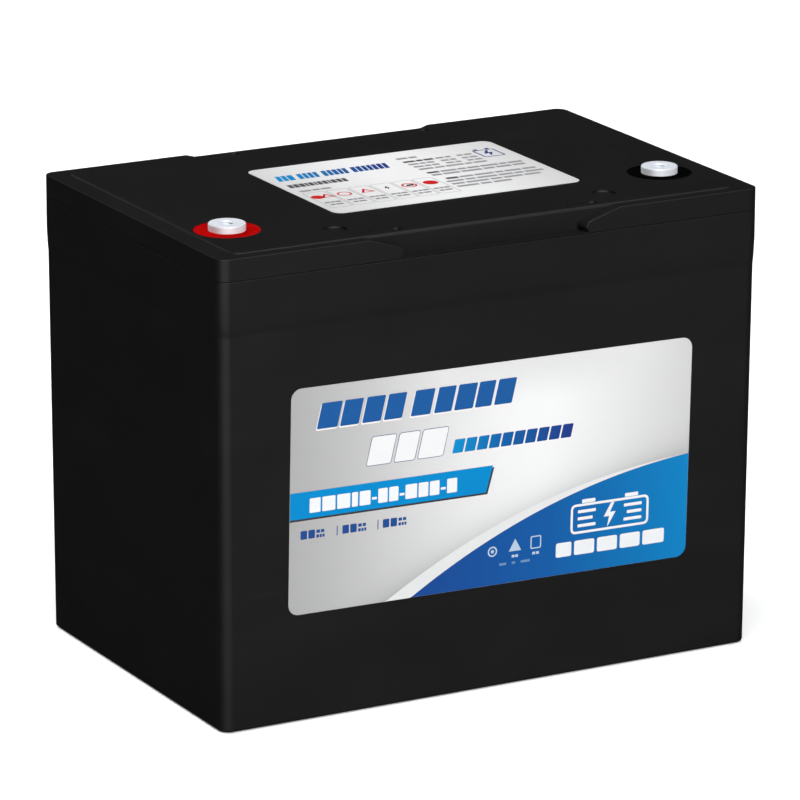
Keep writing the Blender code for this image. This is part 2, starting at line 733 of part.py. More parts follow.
def make_labels():
    draft = math.atan((NECK_WIDTH - BASE_WIDTH) / 2 / COLLAR_BOTTOM)
    x, z = FRONT_LABEL_CENTRE
    wall_y = -(BASE_WIDTH / 2 + z * math.tan(draft))
    make_label("front_label", FRONT_LABEL_SIZE, FRONT_LABEL_RADIUS, (x, wall_y - GAP, z),
               math.pi / 2 + draft, FRONT_LABEL_ROLL)
    x, y = TOP_LABEL_CENTRE
    make_label("top_label", TOP_LABEL_SIZE, TOP_LABEL_RADIUS, (x, y, PLATEAU_TOP + GAP), 0.0)


# ---------------------------------------------------------------- whole battery

make_container()
make_inner_lid()
make_valves()
make_top_cover()
make_terminals()
make_cells()
make_intercell_welds()
make_labels()
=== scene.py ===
import math

import bmesh
import bpy
from mathutils import Matrix, Vector


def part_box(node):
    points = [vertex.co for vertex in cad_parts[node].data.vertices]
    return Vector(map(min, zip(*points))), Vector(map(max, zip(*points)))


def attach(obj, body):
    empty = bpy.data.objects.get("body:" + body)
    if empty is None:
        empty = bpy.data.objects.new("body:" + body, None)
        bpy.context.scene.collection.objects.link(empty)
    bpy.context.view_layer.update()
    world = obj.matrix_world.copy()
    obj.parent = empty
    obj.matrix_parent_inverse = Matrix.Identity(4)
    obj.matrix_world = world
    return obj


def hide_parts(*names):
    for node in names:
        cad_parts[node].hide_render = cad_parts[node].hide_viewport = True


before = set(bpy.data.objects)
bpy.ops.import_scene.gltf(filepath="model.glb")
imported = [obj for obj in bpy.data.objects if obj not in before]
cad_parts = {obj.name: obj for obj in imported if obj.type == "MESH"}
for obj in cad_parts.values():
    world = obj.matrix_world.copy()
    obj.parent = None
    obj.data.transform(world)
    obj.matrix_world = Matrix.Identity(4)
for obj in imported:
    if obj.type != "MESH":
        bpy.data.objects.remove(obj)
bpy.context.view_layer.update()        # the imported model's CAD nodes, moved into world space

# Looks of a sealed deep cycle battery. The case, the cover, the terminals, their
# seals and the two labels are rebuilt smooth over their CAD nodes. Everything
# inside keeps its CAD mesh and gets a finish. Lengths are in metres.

MM = 0.001
BODY = "battery"

# ------------------------ sizes

cover_low, cover_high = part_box("top_cover")
insert_low, insert_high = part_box("positive_terminal_insert")

HALF_X = cover_high.x
HALF_Y = cover_high.y
COVER_BOTTOM = cover_low.z
PLATEAU_TOP = cover_high.z
CORNER = 5.0 * MM

# Case
BASE_HALF = (128.75 * MM, 82.65 * MM)
NECK_HALF = (129.55 * MM, 83.55 * MM)
COLLAR_BOTTOM = 173.3 * MM
COLLAR_FULL = 182.3 * MM
COLLAR_STEP = 0.25 * MM
COLLAR_RAMP = 5.0 * MM
CASE_TOP = 195.2 * MM
CASE_RIM = 0.3 * MM
BASE_EDGE = 1.2 * MM
CAVITY_HALF = (123.6 * MM, 76.6 * MM)
CASE_FLOOR = 5.0 * MM
PARTITION = 2.4 * MM
PARTITION_TOP = 183.0 * MM
CELL_COUNT = 6
CELL_PITCH = (2 * CAVITY_HALF[0] + PARTITION) / CELL_COUNT
CELL_CORNER = 3.0 * MM
WELD_PLACE = (42.0 * MM, 175.5 * MM)
WELD_HOLE = 4.5 * MM

# Cover
SKIRT_TOP = 205.0 * MM
SKIRT_EDGE = 0.38 * MM
PLATEAU_HALF = (121.5 * MM, 78.6 * MM)
PLATEAU_EDGE = 1.5 * MM
COVER_WALL = 2.5 * MM
COVER_UNDERSIDE = PLATEAU_TOP - 2.6 * MM
NOSE_PLACE = (46.6 * MM, 198.1 * MM)
NOSE_RADIUS = 2.6 * MM
NOSE_SPREAD = 1.6 * MM
NOSE_SLOPE = 17.0
NOSE_FLARE = 0.35 * MM
NOSE_BLOCK = 62.0 * MM
RECESS_FLOOR = 195.9 * MM
SLOT_PLACE = (47.4 * MM, 73.6 * MM)
SLOT_SIZE = (14.9 * MM, 4.6 * MM, 1.1 * MM)
DIMPLE_PLACE = (65.0 * MM, -62.3 * MM)
DIMPLE_RADIUS = 5.2 * MM
DIMPLE_DEPTH = 1.0 * MM
POCKET_DRAFT = math.radians(0.5)
POCKET_FILLET = 0.18 * MM
SLIT_PLACE = (112.5 * MM, -0.8 * MM)
SLIT_SIZE = (0.25 * MM, 25.5 * MM)
WELL_RADIUS = 14.1 * MM
WELL_FLOOR = 198.8 * MM
WELL_WALL = 2.4 * MM
WELL_BOTTOM = 197.0 * MM
BOSS_TOP = COVER_UNDERSIDE + 1.3 * MM
PILLAR_RADIUS = 4.5 * MM
PILLAR_BOTTOM = 197.45 * MM
BEAD_SETBACK = 0.9 * MM
BEAD_WIDTH = 1.4 * MM
BEAD_BULGE = 0.06 * MM
BEAD_GAP = 0.01 * MM

# Terminals
TERMINAL_PLACE = (105.0 * MM, -42.0 * MM)
TERMINAL_TOP = insert_high.z
TERMINAL_RADIUS = 7.93 * MM
TERMINAL_EDGE = 0.6 * MM
TERMINAL_GAP = 0.3 * MM
FLANGE_BOTTOM = 199.7 * MM
STUB_RADIUS = 5.2 * MM
BORE_RADIUS = 3.1 * MM
BORE_DEPTH = 12.0 * MM
COUNTERSINK = 0.3 * MM
THREAD_PITCH = 1.0 * MM
THREAD_DEPTH = 0.55 * MM
SEAL_BOTTOM = 199.1 * MM
SEAL_GAP = 0.03 * MM

# Labels
FILM = 0.15 * MM
FILM_GRID = 1.6 * MM
FILM_GAP = 0.02 * MM
INK = 0.02 * MM
WORD_SPACE = 0.55
ITALIC = 12.5
FRONT_SIZE = (194.4 * MM, 98.5 * MM)
FRONT_CENTRE = (-0.3 * MM, 95.1 * MM)
FRONT_CORNER = 4.8 * MM
FRONT_ROLL = math.radians(-0.8)
FRONT_LIGHT = 1.31
TOP_SIZE = (120.3 * MM, 83.6 * MM)
TOP_CENTRE = (7.3 * MM, 0.9 * MM)
TOP_CORNER = 4.5 * MM
TOP_LIGHT = 1.43
DRAFT = math.atan((NECK_HALF[1] - BASE_HALF[1]) / COLLAR_BOTTOM)

# ------------------------ camera


def add_object(name, data):
    made = bpy.data.objects.new(name, data)
    bpy.context.scene.collection.objects.link(made)
    return made


def make_camera():
    right = Vector((0.87589, -0.4825, 0.00356))
    up = Vector((0.13213, 0.24694, 0.95998))
    back = Vector((-0.46407, -0.84036, 0.28005))
    turn = Matrix((right, up, back)).transposed().to_4x4()
    data = bpy.data.cameras.new("camera")
    data.lens = 259.71
    camera = add_object("camera", data)
    camera.matrix_world = Matrix.Translation((-1.1641, -2.10911, 0.80935)) @ turn
    bpy.context.scene.camera = camera


make_camera()
bpy.context.scene.view_settings.view_transform = "Standard"

# ------------------------ finishes


def linear(red, green, blue):
    """A colour seen on a screen, from 0 to 255, as linear light."""
    shades = []
    for value in (red, green, blue):
        share = value / 255
        shades.append(share / 12.92 if share <= 0.04045 else ((share + 0.055) / 1.055) ** 2.4)
    return (*shades, 1.0)


class Finish:
    """A Principled material, and short calls that add nodes to it."""

    def __init__(self, name, **settings):
        self.material = bpy.data.materials.new(name)
        self.material.use_nodes = True
        self.tree = self.material.node_tree
        self.shader = self.tree.nodes["Principled BSDF"]
        for socket, value in settings.items():
            self.shader.inputs[socket.replace("_", " ")].default_value = value

    def add(self, kind, inputs, output=0, **settings):
        """Add a node. Inputs are numbers, colours or another node's output."""
        made = self.tree.nodes.new(kind)
        for key, value in settings.items():
            setattr(made, key, value)
        for key, value in inputs.items():
            if isinstance(value, bpy.types.NodeSocket):
                self.tree.links.new(value, made.inputs[key])
            else:
                made.inputs[key].default_value = value
        return made.outputs[output]

    def place(self, scale=(1.0, 1.0, 1.0)):
        """The piece's own coordinates, stretched by scale."""
        spot = self.add("ShaderNodeTexCoord", {}, "Object")
        return self.add("ShaderNodeMapping", {"Vector": spot, "Scale": scale})

    def noise(self, scale, detail=2.0, stretch=(1.0, 1.0, 1.0), distortion=0.0):
        return self.add("ShaderNodeTexNoise", {"Vector": self.place(stretch), "Scale": scale,
                                               "Detail": detail, "Distortion": distortion}, "Fac")

    def span(self, value, low, high, new_low=0.0, new_high=1.0):
        """Map a value from one range to another, clamped."""
        return self.add("ShaderNodeMapRange", {"Value": value, "From Min": low, "From Max": high,
                                               "To Min": new_low, "To Max": new_high})

    def cells(self, scale):
        return self.add("ShaderNodeTexVoronoi", {"Vector": self.place(), "Scale": scale},
                        "Distance")

    def blend(self, share, first, second, kind="MIX"):
        """Mix two colours. A mix node keeps its colour sockets at 6, 7 and 2."""
        return self.add("ShaderNodeMix", {0: share, 6: first, 7: second}, 2, data_type="RGBA",
                        blend_type=kind)

    def maths(self, operation, first, second=0.0):
        return self.add("ShaderNodeMath", {0: first, 1: second}, operation=operation)

    def colour(self, socket):
        self.tree.links.new(socket, self.shader.inputs["Base Color"])

    def rough(self, socket):
        self.tree.links.new(socket, self.shader.inputs["Roughness"])

    def bump(self, height, distance, strength=1.0):
        made = self.add("ShaderNodeBump", {"Height": height, "Distance": distance,
                                           "Strength": strength}, "Normal")
        self.tree.links.new(made, self.shader.inputs["Normal"])


def moulded_plastic(name, dark, light, rough_low, rough_high, specular):
    """Injection-moulded polypropylene: a fine grain, faint flow marks and scuffs."""
    finish = Finish(name, Specular_IOR_Level=specular)
    cloud = finish.noise(38.0, 4.0)
    flow = finish.noise(9.0, 3.0, (1.0, 1.0, 5.0), 0.6)
    scuff = finish.span(finish.noise(120.0, 3.0, (0.35, 0.35, 4.0)), 0.62, 0.74)
    patch = finish.span(finish.noise(14.0), 0.52, 0.66)
    scuff = finish.maths("MULTIPLY", scuff, patch)
    base = finish.blend(finish.span(cloud, 0.3, 0.7), dark, light)
    worn = tuple(1.35 * shade for shade in light[:3]) + (1.0,)
    finish.colour(finish.blend(finish.maths("MULTIPLY", scuff, 0.5), base, worn))
    rough = finish.span(flow, 0.3, 0.7, rough_low, rough_high)
    finish.rough(finish.maths("ADD", rough, finish.maths("MULTIPLY", scuff, 0.05)))
    finish.bump(finish.noise(2600.0), 0.012 * MM, 0.6)
    return finish.material


def sheet_lead(name, light, dark, metallic):
    finish = Finish(name, Metallic=metallic, Specular_IOR_Level=0.4)
    cells = finish.cells(420.0)
    tarnish = finish.noise(160.0, 5.0)
    finish.colour(finish.blend(finish.span(tarnish, 0.35, 0.65), dark, light))
    finish.rough(finish.span(tarnish, 0.3, 0.7, 0.62, 0.42))
    finish.bump(finish.maths("ADD", cells, finish.noise(900.0, 3.0)), 0.06 * MM, 0.5)
    return finish.material


def dried_paste(name, light, dark):
    """Lead paste pressed into a grid: gritty, with the ribs of the grid showing."""
    finish = Finish(name, Specular_IOR_Level=0.2)
    grit = finish.noise(1500.0, 4.0)
    ribs = finish.add("ShaderNodeTexWave", {"Vector": finish.place(), "Scale": 32.0,
                                            "Distortion": 0.4}, "Fac", bands_direction="Z")
    shade = finish.blend(finish.span(grit, 0.3, 0.7), dark, light)
    finish.colour(finish.blend(finish.span(ribs, 0.86, 1.0, 0.0, 0.5), shade, light))
    finish.rough(finish.span(grit, 0.3, 0.7, 0.8, 0.95))
    finish.bump(finish.maths("ADD", grit, ribs), 0.15 * MM, 0.5)
    return finish.material


def glass_fibre():
    finish = Finish("glass_mat_finish", Specular_IOR_Level=0.3)
    fibres = finish.noise(900.0, 6.0, (1.0, 1.0, 0.12), 1.5)
    across = finish.noise(900.0, 6.0, (1.0, 0.12, 1.0), 1.5)
    weave = finish.maths("MAXIMUM", fibres, across)
    finish.colour(finish.blend(finish.span(weave, 0.4, 0.75),
                               linear(205, 205, 198), linear(244, 244, 240)))
    finish.rough(finish.span(weave, 0.4, 0.75, 0.95, 0.85))
    finish.bump(weave, 0.12 * MM, 0.7)
    return finish.material


def soft_rubber():
    finish = Finish("valve_rubber_finish", Specular_IOR_Level=0.35)
    bloom = finish.noise(220.0, 4.0)
    finish.colour(finish.blend(finish.span(bloom, 0.4, 0.7),
                               linear(38, 38, 40), linear(62, 62, 64)))
    finish.rough(finish.span(bloom, 0.3, 0.7, 0.68, 0.86))
    finish.bump(finish.noise(2600.0), 0.02 * MM, 0.6)
    return finish.material


def tinned_metal():
    """Tin plate on lathe-cut brass: faint turning rings, small bright grain, sides painted
    lighter.
    """
    finish = Finish("tinned_brass_finish", Metallic=0.12, Specular_IOR_Level=0.4)
    rings = finish.add("ShaderNodeTexWave", {"Vector": finish.place(), "Scale": 520.0,
                                             "Distortion": 1.2, "Detail": 2.0}, "Fac",
                       wave_type="RINGS", rings_direction="Z")
    grain = finish.noise(1400.0, 3.0)
    stain = finish.span(finish.noise(210.0, 4.0), 0.45, 0.75)
    base = finish.blend(finish.span(grain, 0.3, 0.7),
                        linear(200, 205, 213), linear(217, 221, 229))
    base = finish.blend(finish.maths("MULTIPLY", stain, 0.25), base, linear(186, 189, 195))
    # Painted light: the sides, whose normals lie flat, get a brighter tin colour than the top, to
    # stand for the light that falls on them.
    facing = finish.add("ShaderNodeSeparateXYZ",
                        {"Vector": finish.add("ShaderNodeNewGeometry", {}, "Normal")}, "Z")
    painted_side_light = finish.span(facing, 0.1, 0.9, 1.0, 0.0)
    finish.colour(finish.blend(painted_side_light, base, linear(240, 243, 248)))
    finish.rough(finish.span(grain, 0.3, 0.7, 0.34, 0.46))
    finish.bump(finish.maths("ADD", finish.maths("MULTIPLY", rings, 0.5), grain), 0.02 * MM, 0.35)
    return finish.material


def cast_epoxy(name, deep, bright, specular):
    """Coloured epoxy, poured and set: smooth, with slow ripples and pinholes."""
    finish = Finish(name, Specular_IOR_Level=specular)
    cloud = finish.noise(130.0, 3.0)
    finish.colour(finish.blend(finish.span(cloud, 0.35, 0.65), deep, bright))
    finish.rough(finish.span(finish.noise(420.0), 0.3, 0.7, 0.34, 0.46))
    hollow = finish.span(finish.cells(700.0), 0.0, 0.1)
    height = finish.maths("ADD", finish.noise(180.0), finish.maths("MULTIPLY", hollow, 0.3))
    finish.bump(height, 0.05 * MM, 0.5)
    return finish.material


def printed(name, tint, speckle=0.04):
    """Ink under a clear film. Tint is a colour, a ramp along X, or a named tone."""
    finish = Finish(name, Specular_IOR_Level=0.05)
    if isinstance(tint, str):
        base = finish.add("ShaderNodeAttribute", {}, "Color", attribute_name=tint)
    elif isinstance(tint, dict):
        spot = finish.add("ShaderNodeTexCoord", {}, "Object")
        across = finish.add("ShaderNodeSeparateXYZ", {"Vector": spot}, "X")
        stops = sorted(tint.items())
        start, end = stops[0][0], stops[-1][0]
        base = finish.add("ShaderNodeValToRGB", {"Fac": finish.span(across, start, end)})
        elements = base.node.color_ramp.elements
        while len(elements) < len(stops):
            elements.new(0.5)
        for element, (place, shade) in zip(elements, stops):
            element.position = (place - start) / (end - start)
            element.color = shade
    else:
        base = tint
    dots = finish.span(finish.noise(3200.0, 1.0), 0.3, 0.7, 1.0 - speckle, 1.0)
    sheen = finish.span(finish.noise(60.0), 0.3, 0.7, 1.0 - speckle / 2, 1.0)
    share = finish.maths("MULTIPLY", dots, sheen)
    grey = finish.add("ShaderNodeCombineColor", {0: share, 1: share, 2: share})
    finish.colour(finish.blend(1.0, base, grey, "MULTIPLY"))
    finish.rough(finish.span(finish.noise(240.0), 0.3, 0.7, 0.42, 0.5))
    finish.bump(finish.noise(95.0), 0.03 * MM, 0.4)
    return finish.material


case_finish = moulded_plastic("case_plastic_finish", (0.006, 0.006, 0.0061, 1.0),
                              (0.007, 0.007, 0.0071, 1.0), 0.41, 0.47, 0.2)
lid_finish = moulded_plastic("lid_plastic_finish", (0.018, 0.018, 0.019, 1.0),
                             (0.024, 0.024, 0.025, 1.0), 0.48, 0.58, 0.3)
rubber_finish = soft_rubber()
tin_finish = tinned_metal()
red_finish = cast_epoxy("red_epoxy_finish", (0.3, 0.0002, 0.0002, 1.0),
                        (0.34, 0.0004, 0.0004, 1.0), 0.01)
black_finish = cast_epoxy("black_epoxy_finish", (0.0006, 0.0006, 0.0007, 1.0),
                          (0.0012, 0.0012, 0.0012, 1.0), 0.02)

NODE_FINISHES = {
    "case_plastic": case_finish,
    "lid_plastic": lid_finish,
    "valve_rubber": rubber_finish,
    "tinned_brass": tin_finish,
    "red_epoxy": red_finish,
    "black_epoxy": black_finish,
    "lead": sheet_lead("lead_finish", (0.42, 0.43, 0.47, 1.0), (0.2, 0.21, 0.24, 1.0), 0.9),
    "positive_paste": dried_paste("positive_paste_finish", linear(122, 78, 56),
                                  linear(84, 50, 36)),
    "negative_paste": dried_paste("negative_paste_finish", linear(158, 160, 163),
                                  linear(118, 120, 124)),
    "glass_mat": glass_fibre(),
}

# ------------------------ shape tools


def arc(centre_x, centre_y, radius, start, end, steps):
    """Points on an arc, both ends included, with angles in degrees."""
    points = []
    for index in range(steps + 1):
        angle = math.radians(start + (end - start) * index / steps)
        points.append((centre_x + radius * math.cos(angle), centre_y + radius * math.sin(angle)))
    return points


def round_rect(half_x, half_y, radius, steps=14):
    points = []
    for side_x, side_y, start in ((1, 1, 0), (-1, 1, 90), (-1, -1, 180), (1, -1, 270)):
        points += arc(side_x * (half_x - radius), side_y * (half_y - radius), radius,
                      start, start + 90, steps)
    return points


def rectangle(half_x, half_y):
    return [(-half_x, -half_y), (half_x, -half_y), (half_x, half_y), (-half_x, half_y)]


def quarter_round(radius, steps):
    """Points on a rounded edge, as their distances in from its two flat sides."""
    angles = [math.pi / 2 * index / steps for index in range(steps + 1)]
    return [(radius * (1 - math.cos(angle)), radius * (1 - math.sin(angle))) for angle in angles]


def bridge(bm, first, second):
    """Join two loops with faces, which are triangles where a loop is one point."""
    for corners in zip(first, first[1:] + first[:1], second[1:] + second[:1], second):
        bm.faces.new(list(dict.fromkeys(corners)))


def loft(bm, rings, endless=False):
    """A closed solid through rings of points, flat at both ends or endless."""
    loops = [[bm.verts.new(point) for point in ring] for ring in rings]
    for lower, upper in zip(loops, loops[1:]):
        bridge(bm, lower, upper)
    if endless:
        bridge(bm, loops[-1], loops[0])
    else:
        bm.faces.new(loops[0][::-1])
        bm.faces.new(loops[-1])


def upright(bm, plan, low, high, x=0.0):
    """A block with this plan, between two heights."""
    loft(bm, [[(x + a, b, z) for a, b in plan] for z in (low, high)])


def revolve(bm, profile, steps, centre=(0.0, 0.0)):
    """Turn a profile of (radius, z) about Z. A radius may depend on the angle."""
    rows = []
    for radius, z in profile:
        if not callable(radius) and radius <= 0.0:
            rows.append([bm.verts.new((centre[0], centre[1], z))] * steps)
            continue
        row = []
        for index in range(steps):
            angle = 2 * math.pi * index / steps
            reach = radius(angle) if callable(radius) else radius
            row.append(bm.verts.new((centre[0] + reach * math.cos(angle),
                                     centre[1] + reach * math.sin(angle), z)))
        rows.append(row)
    for first, second in zip(rows, rows[1:]):
        bridge(bm, first, second)


def add_cylinder(bm, x, y, radius, low, high, steps):
    revolve(bm, [(0.0, low), (radius, low), (radius, high), (0.0, high)], steps, (x, y))


def make_object(name, bm):
    bmesh.ops.recalc_face_normals(bm, faces=bm.faces)
    mesh = bpy.data.meshes.new(name)
    bm.to_mesh(mesh)
    bm.free()
    return add_object(name, mesh)


def carve(blank, steps):
    """Cut and join tools, given as (operation, bmesh), then keep the result."""
    tools = []
    for operation, bm in steps:
        tool = make_object(f"{blank.name}_tool_{len(tools)}", bm)
        tools.append(tool)
        modifier = blank.modifiers.new(tool.name, "BOOLEAN")
        modifier.operation = operation
        modifier.solver = "EXACT"
        modifier.object = tool
    depsgraph = bpy.context.evaluated_depsgraph_get()
    result = bpy.data.meshes.new_from_object(blank.evaluated_get(depsgraph))
    blank.modifiers.clear()
    blank.data = result
    for tool in tools:
        bpy.data.objects.remove(tool)


def dress(piece, finish, replaces=(), sharp=40.0):
    """Finish a piece and hang it on the battery. Edges over sharp degrees stay crisp."""
    piece.data.materials.clear()
    piece.data.materials.append(finish)
    if sharp:
        piece.data.shade_smooth()
        piece.data.set_sharp_from_angle(angle=math.radians(sharp))
        weighted = piece.modifiers.new("weighted_normals", "WEIGHTED_NORMAL")
        weighted.keep_sharp = True
        weighted.weight = 90
    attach(piece, BODY)
    if replaces:
        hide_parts(*replaces)


def cell_x(cell):
    return (cell - (CELL_COUNT + 1) / 2) * CELL_PITCH


# ------------------------ case


def wall_inset(z, axis):
    """How far the leaning wall is set in from the full half size, at one height."""
    full = (HALF_X, HALF_Y)[axis]
    return full - BASE_HALF[axis] - z / COLLAR_BOTTOM * (NECK_HALF[axis] - BASE_HALF[axis])


def case_rings():
    """Outline rings of the case, from its base edge up to its rim."""
    levels = []     # height, how far each side is set in, and what the corners lose
    for z, inset in quarter_round(BASE_EDGE, 6):
        levels.append((z, wall_inset(z, 0) + inset, wall_inset(z, 1) + inset, inset))
    middle = COLLAR_BOTTOM / 2
    levels.append((middle, wall_inset(middle, 0), wall_inset(middle, 1), 0.0))
    neck = wall_inset(COLLAR_BOTTOM, 0), wall_inset(COLLAR_BOTTOM, 1)
    for index in range(9):
        share = index / 8
        step = COLLAR_STEP * share * share * (3 - 2 * share)
        z = COLLAR_BOTTOM + COLLAR_RAMP * (share - 0.5)
        levels.append((z, neck[0] - step, neck[1] - step, 0.0))
    levels.append((COLLAR_FULL, 0.0, 0.0, 0.0))
    for inset, drop in quarter_round(CASE_RIM, 6):
        levels.append((CASE_TOP - drop, inset, inset, inset))
    return [[(x, y, z) for x, y in round_rect(HALF_X - inset_x, HALF_Y - inset_y, CORNER - loss)]
            for z, inset_x, inset_y, loss in levels]


def make_case():
    bm = bmesh.new()
    loft(bm, case_rings())
    case = make_object("case_shell", bm)

    mouth = bmesh.new()
    upright(mouth, round_rect(*CAVITY_HALF, CELL_CORNER, 6), PARTITION_TOP, CASE_TOP + CORNER)
    cells = bmesh.new()
    plan = round_rect((CELL_PITCH - PARTITION) / 2, CAVITY_HALF[1] - 0.03 * MM, CELL_CORNER, 4)
    for cell in range(1, CELL_COUNT + 1):
        upright(cells, plan, CASE_FLOOR, PARTITION_TOP + 2 * MM, cell_x(cell))
    holes = bmesh.new()
    for number in range(1, CELL_COUNT):
        side = 1 if number % 2 else -1
        x = cell_x(number) + CELL_PITCH / 2
        circle = arc(side * WELD_PLACE[0], WELD_PLACE[1], WELD_HOLE, 0, 345, 23)
        loft(holes, [[(x + reach, y, z) for y, z in circle] for reach in (-PARTITION, PARTITION)])
    carve(case, [("DIFFERENCE", mouth), ("DIFFERENCE", cells), ("DIFFERENCE", holes)])
    dress(case, case_finish, ["container"])


# ------------------------ cover


def recess_outline(radius, spread=0.0):
    """Outline in X and Z of the space between two noses, whose tips spread by this much."""
    x, z = NOSE_PLACE
    first = 90 + NOSE_SLOPE
    drop = math.degrees(math.asin((z - RECESS_FLOOR) / (radius + spread)))
    nose = []
    for index in range(23):
        angle = math.radians(first + (180 + drop - first) * index / 22)
        reach = radius + spread * min(1.0, index / 12)
        nose.append((x + reach * math.cos(angle), z + reach * math.sin(angle)))
    top = SKIRT_TOP + 2 * MM
    run = (top - nose[0][1]) / math.tan(math.radians(NOSE_SLOPE))
    right = [(nose[0][0] + run, top)] + nose
    return right + [(-x, z) for x, z in reversed(right)]


def add_recess(bm, side):
    """One side recess. Its noses are rounded over in front and flare towards the plateau."""
    sections = [(HALF_Y + CORNER, NOSE_RADIUS - NOSE_FLARE, 0.0)]
    sections += [(HALF_Y - inset, NOSE_RADIUS - loss, 0.0)
                 for inset, loss in quarter_round(NOSE_FLARE, 4)]
    sections += [(PLATEAU_HALF[1], NOSE_RADIUS, NOSE_SPREAD),
                 (PLATEAU_HALF[1] - PLATEAU_EDGE, NOSE_RADIUS, NOSE_SPREAD)]
    loft(bm, [[(x, side * y, z) for x, z in recess_outline(radius, spread)]
              for y, radius, spread in sections])


def filleted(half_x, half_y, low, top, fillet):
    """Rings of a block whose top edge is rounded over."""
    rings = []
    for inset, drop in [(0.0, top - low)] + quarter_round(fillet, 6):
        plan = round_rect(half_x - inset, half_y - inset, CORNER - inset)
        rings.append([(x, y, top - drop) for x, y in plan])
    return rings


def hollow_outline():
    """Plan of the cover's hollow, which steps in behind each side recess."""
    half_x = HALF_X - COVER_WALL
    half_y = HALF_Y - COVER_WALL
    step = PLATEAU_HALF[1] - COVER_WALL
    corners = round_rect(half_x, half_y, CORNER - COVER_WALL, 5)
    back = corners[:6] + [(NOSE_BLOCK, half_y), (NOSE_BLOCK, step), (-NOSE_BLOCK, step),
                          (-NOSE_BLOCK, half_y)] + corners[6:12]
    return back + [(-x, -y) for x, y in back]


def stadium(length, width, grow):
    reach = (length - width) / 2
    radius = width / 2 + grow
    return arc(reach, 0.0, radius, -90, 90, 20) + arc(-reach, 0.0, radius, 90, 270, 20)


def pocket_levels(depth):
    """Height, and how far the outline is grown there, for a pocket with leaning walls."""
    slant = math.tan(POCKET_DRAFT)
    return [(PLATEAU_TOP - depth, -slant * depth - POCKET_FILLET),
            (PLATEAU_TOP - depth + 0.05 * MM, -slant * depth - 0.05 * MM),
            (PLATEAU_TOP - depth + POCKET_FILLET, -slant * (depth - POCKET_FILLET)),
            (PLATEAU_TOP + CORNER, slant * CORNER)]


def add_slots(bm):
    length, width, depth = SLOT_SIZE
    for x in (-SLOT_PLACE[0], SLOT_PLACE[0]):
        for y in (-SLOT_PLACE[1], SLOT_PLACE[1]):
            loft(bm, [[(x + a, y + b, z) for a, b in stadium(length, width, grow)]
                      for z, grow in pocket_levels(depth)])


def add_dimples(bm):
    for x in (-DIMPLE_PLACE[0], DIMPLE_PLACE[0]):
        loft(bm, [[(a, b, z) for a, b in arc(x, DIMPLE_PLACE[1], DIMPLE_RADIUS + grow, 0, 355, 71)]
                  for z, grow in pocket_levels(DIMPLE_DEPTH)])


def add_slits(bm):
    half_x, half_y = SLIT_SIZE[0] / 2, SLIT_SIZE[1] / 2
    flare = 0.03 * MM
    levels = [(COVER_UNDERSIDE - 2 * MM, 0.0), (PLATEAU_TOP - flare, 0.0),
              (PLATEAU_TOP, flare), (PLATEAU_TOP + 5 * MM, flare)]
    for x in (-SLIT_PLACE[0], SLIT_PLACE[0]):
        loft(bm, [[(x + a, SLIT_PLACE[1] + b, z)
                   for a, b in round_rect(half_x + grow, half_y + grow, 0.8 * half_x, 3)]
                  for z, grow in levels])


def make_cover():
    bm = bmesh.new()
    loft(bm, filleted(HALF_X, HALF_Y, COVER_BOTTOM - 6 * MM, SKIRT_TOP, SKIRT_EDGE))
    cover = make_object("cover_shell", bm)

    recesses = bmesh.new()
    for side in (-1, 1):
        add_recess(recesses, side)
    plateau = bmesh.new()
    loft(plateau, filleted(*PLATEAU_HALF, COVER_BOTTOM - 4 * MM, PLATEAU_TOP, PLATEAU_EDGE))
    hollow = bmesh.new()
    upright(hollow, hollow_outline(), COVER_BOTTOM - 12 * MM, COVER_UNDERSIDE)
    trim = bmesh.new()
    upright(trim, rectangle(2 * HALF_X, 2 * HALF_Y), COVER_BOTTOM - 12 * MM, COVER_BOTTOM)
    bosses = bmesh.new()
    wells = bmesh.new()
    holes = bmesh.new()
    for cell in range(1, CELL_COUNT + 1):
        add_cylinder(bosses, cell_x(cell), 0.0, PILLAR_RADIUS, PILLAR_BOTTOM, BOSS_TOP, 32)
    for x in (-TERMINAL_PLACE[0], TERMINAL_PLACE[0]):
        y = TERMINAL_PLACE[1]
        add_cylinder(bosses, x, y, WELL_RADIUS + WELL_WALL, WELL_BOTTOM, BOSS_TOP, 96)
        add_cylinder(wells, x, y, WELL_RADIUS, WELL_FLOOR, PLATEAU_TOP + CORNER, 128)
        add_cylinder(holes, x, y, TERMINAL_RADIUS + TERMINAL_GAP, WELL_BOTTOM - 4 * MM,
                     PLATEAU_TOP + 2 * MM, 96)
    marks = bmesh.new()
    add_slots(marks)
    add_dimples(marks)
    add_slits(marks)
    carve(cover, [("DIFFERENCE", recesses), ("UNION", plateau), ("DIFFERENCE", hollow),
                  ("DIFFERENCE", trim), ("UNION", bosses), ("DIFFERENCE", wells),
                  ("DIFFERENCE", holes), ("DIFFERENCE", marks)])
    dress(cover, case_finish, ["top_cover"], 30.0)


def make_bead():
    """The heat weld that closes the seam, a little behind the outer faces."""
    bm = bmesh.new()
    low, high = CASE_TOP + BEAD_GAP, COVER_BOTTOM - BEAD_GAP
    levels = [(low, 0.0), ((low + high) / 2, -BEAD_BULGE), (high, 0.0), (high, BEAD_WIDTH),
              (low, BEAD_WIDTH)]
    rings = []
    for z, inset in levels:
        setback = BEAD_SETBACK + inset
        plan = round_rect(HALF_X - setback, HALF_Y - setback, CORNER - setback, 8)
        rings.append([(x, y, z) for x, y in plan])
    loft(bm, rings, endless=True)
    dress(make_object("cover_weld", bm), case_finish)


# ------------------------ terminals


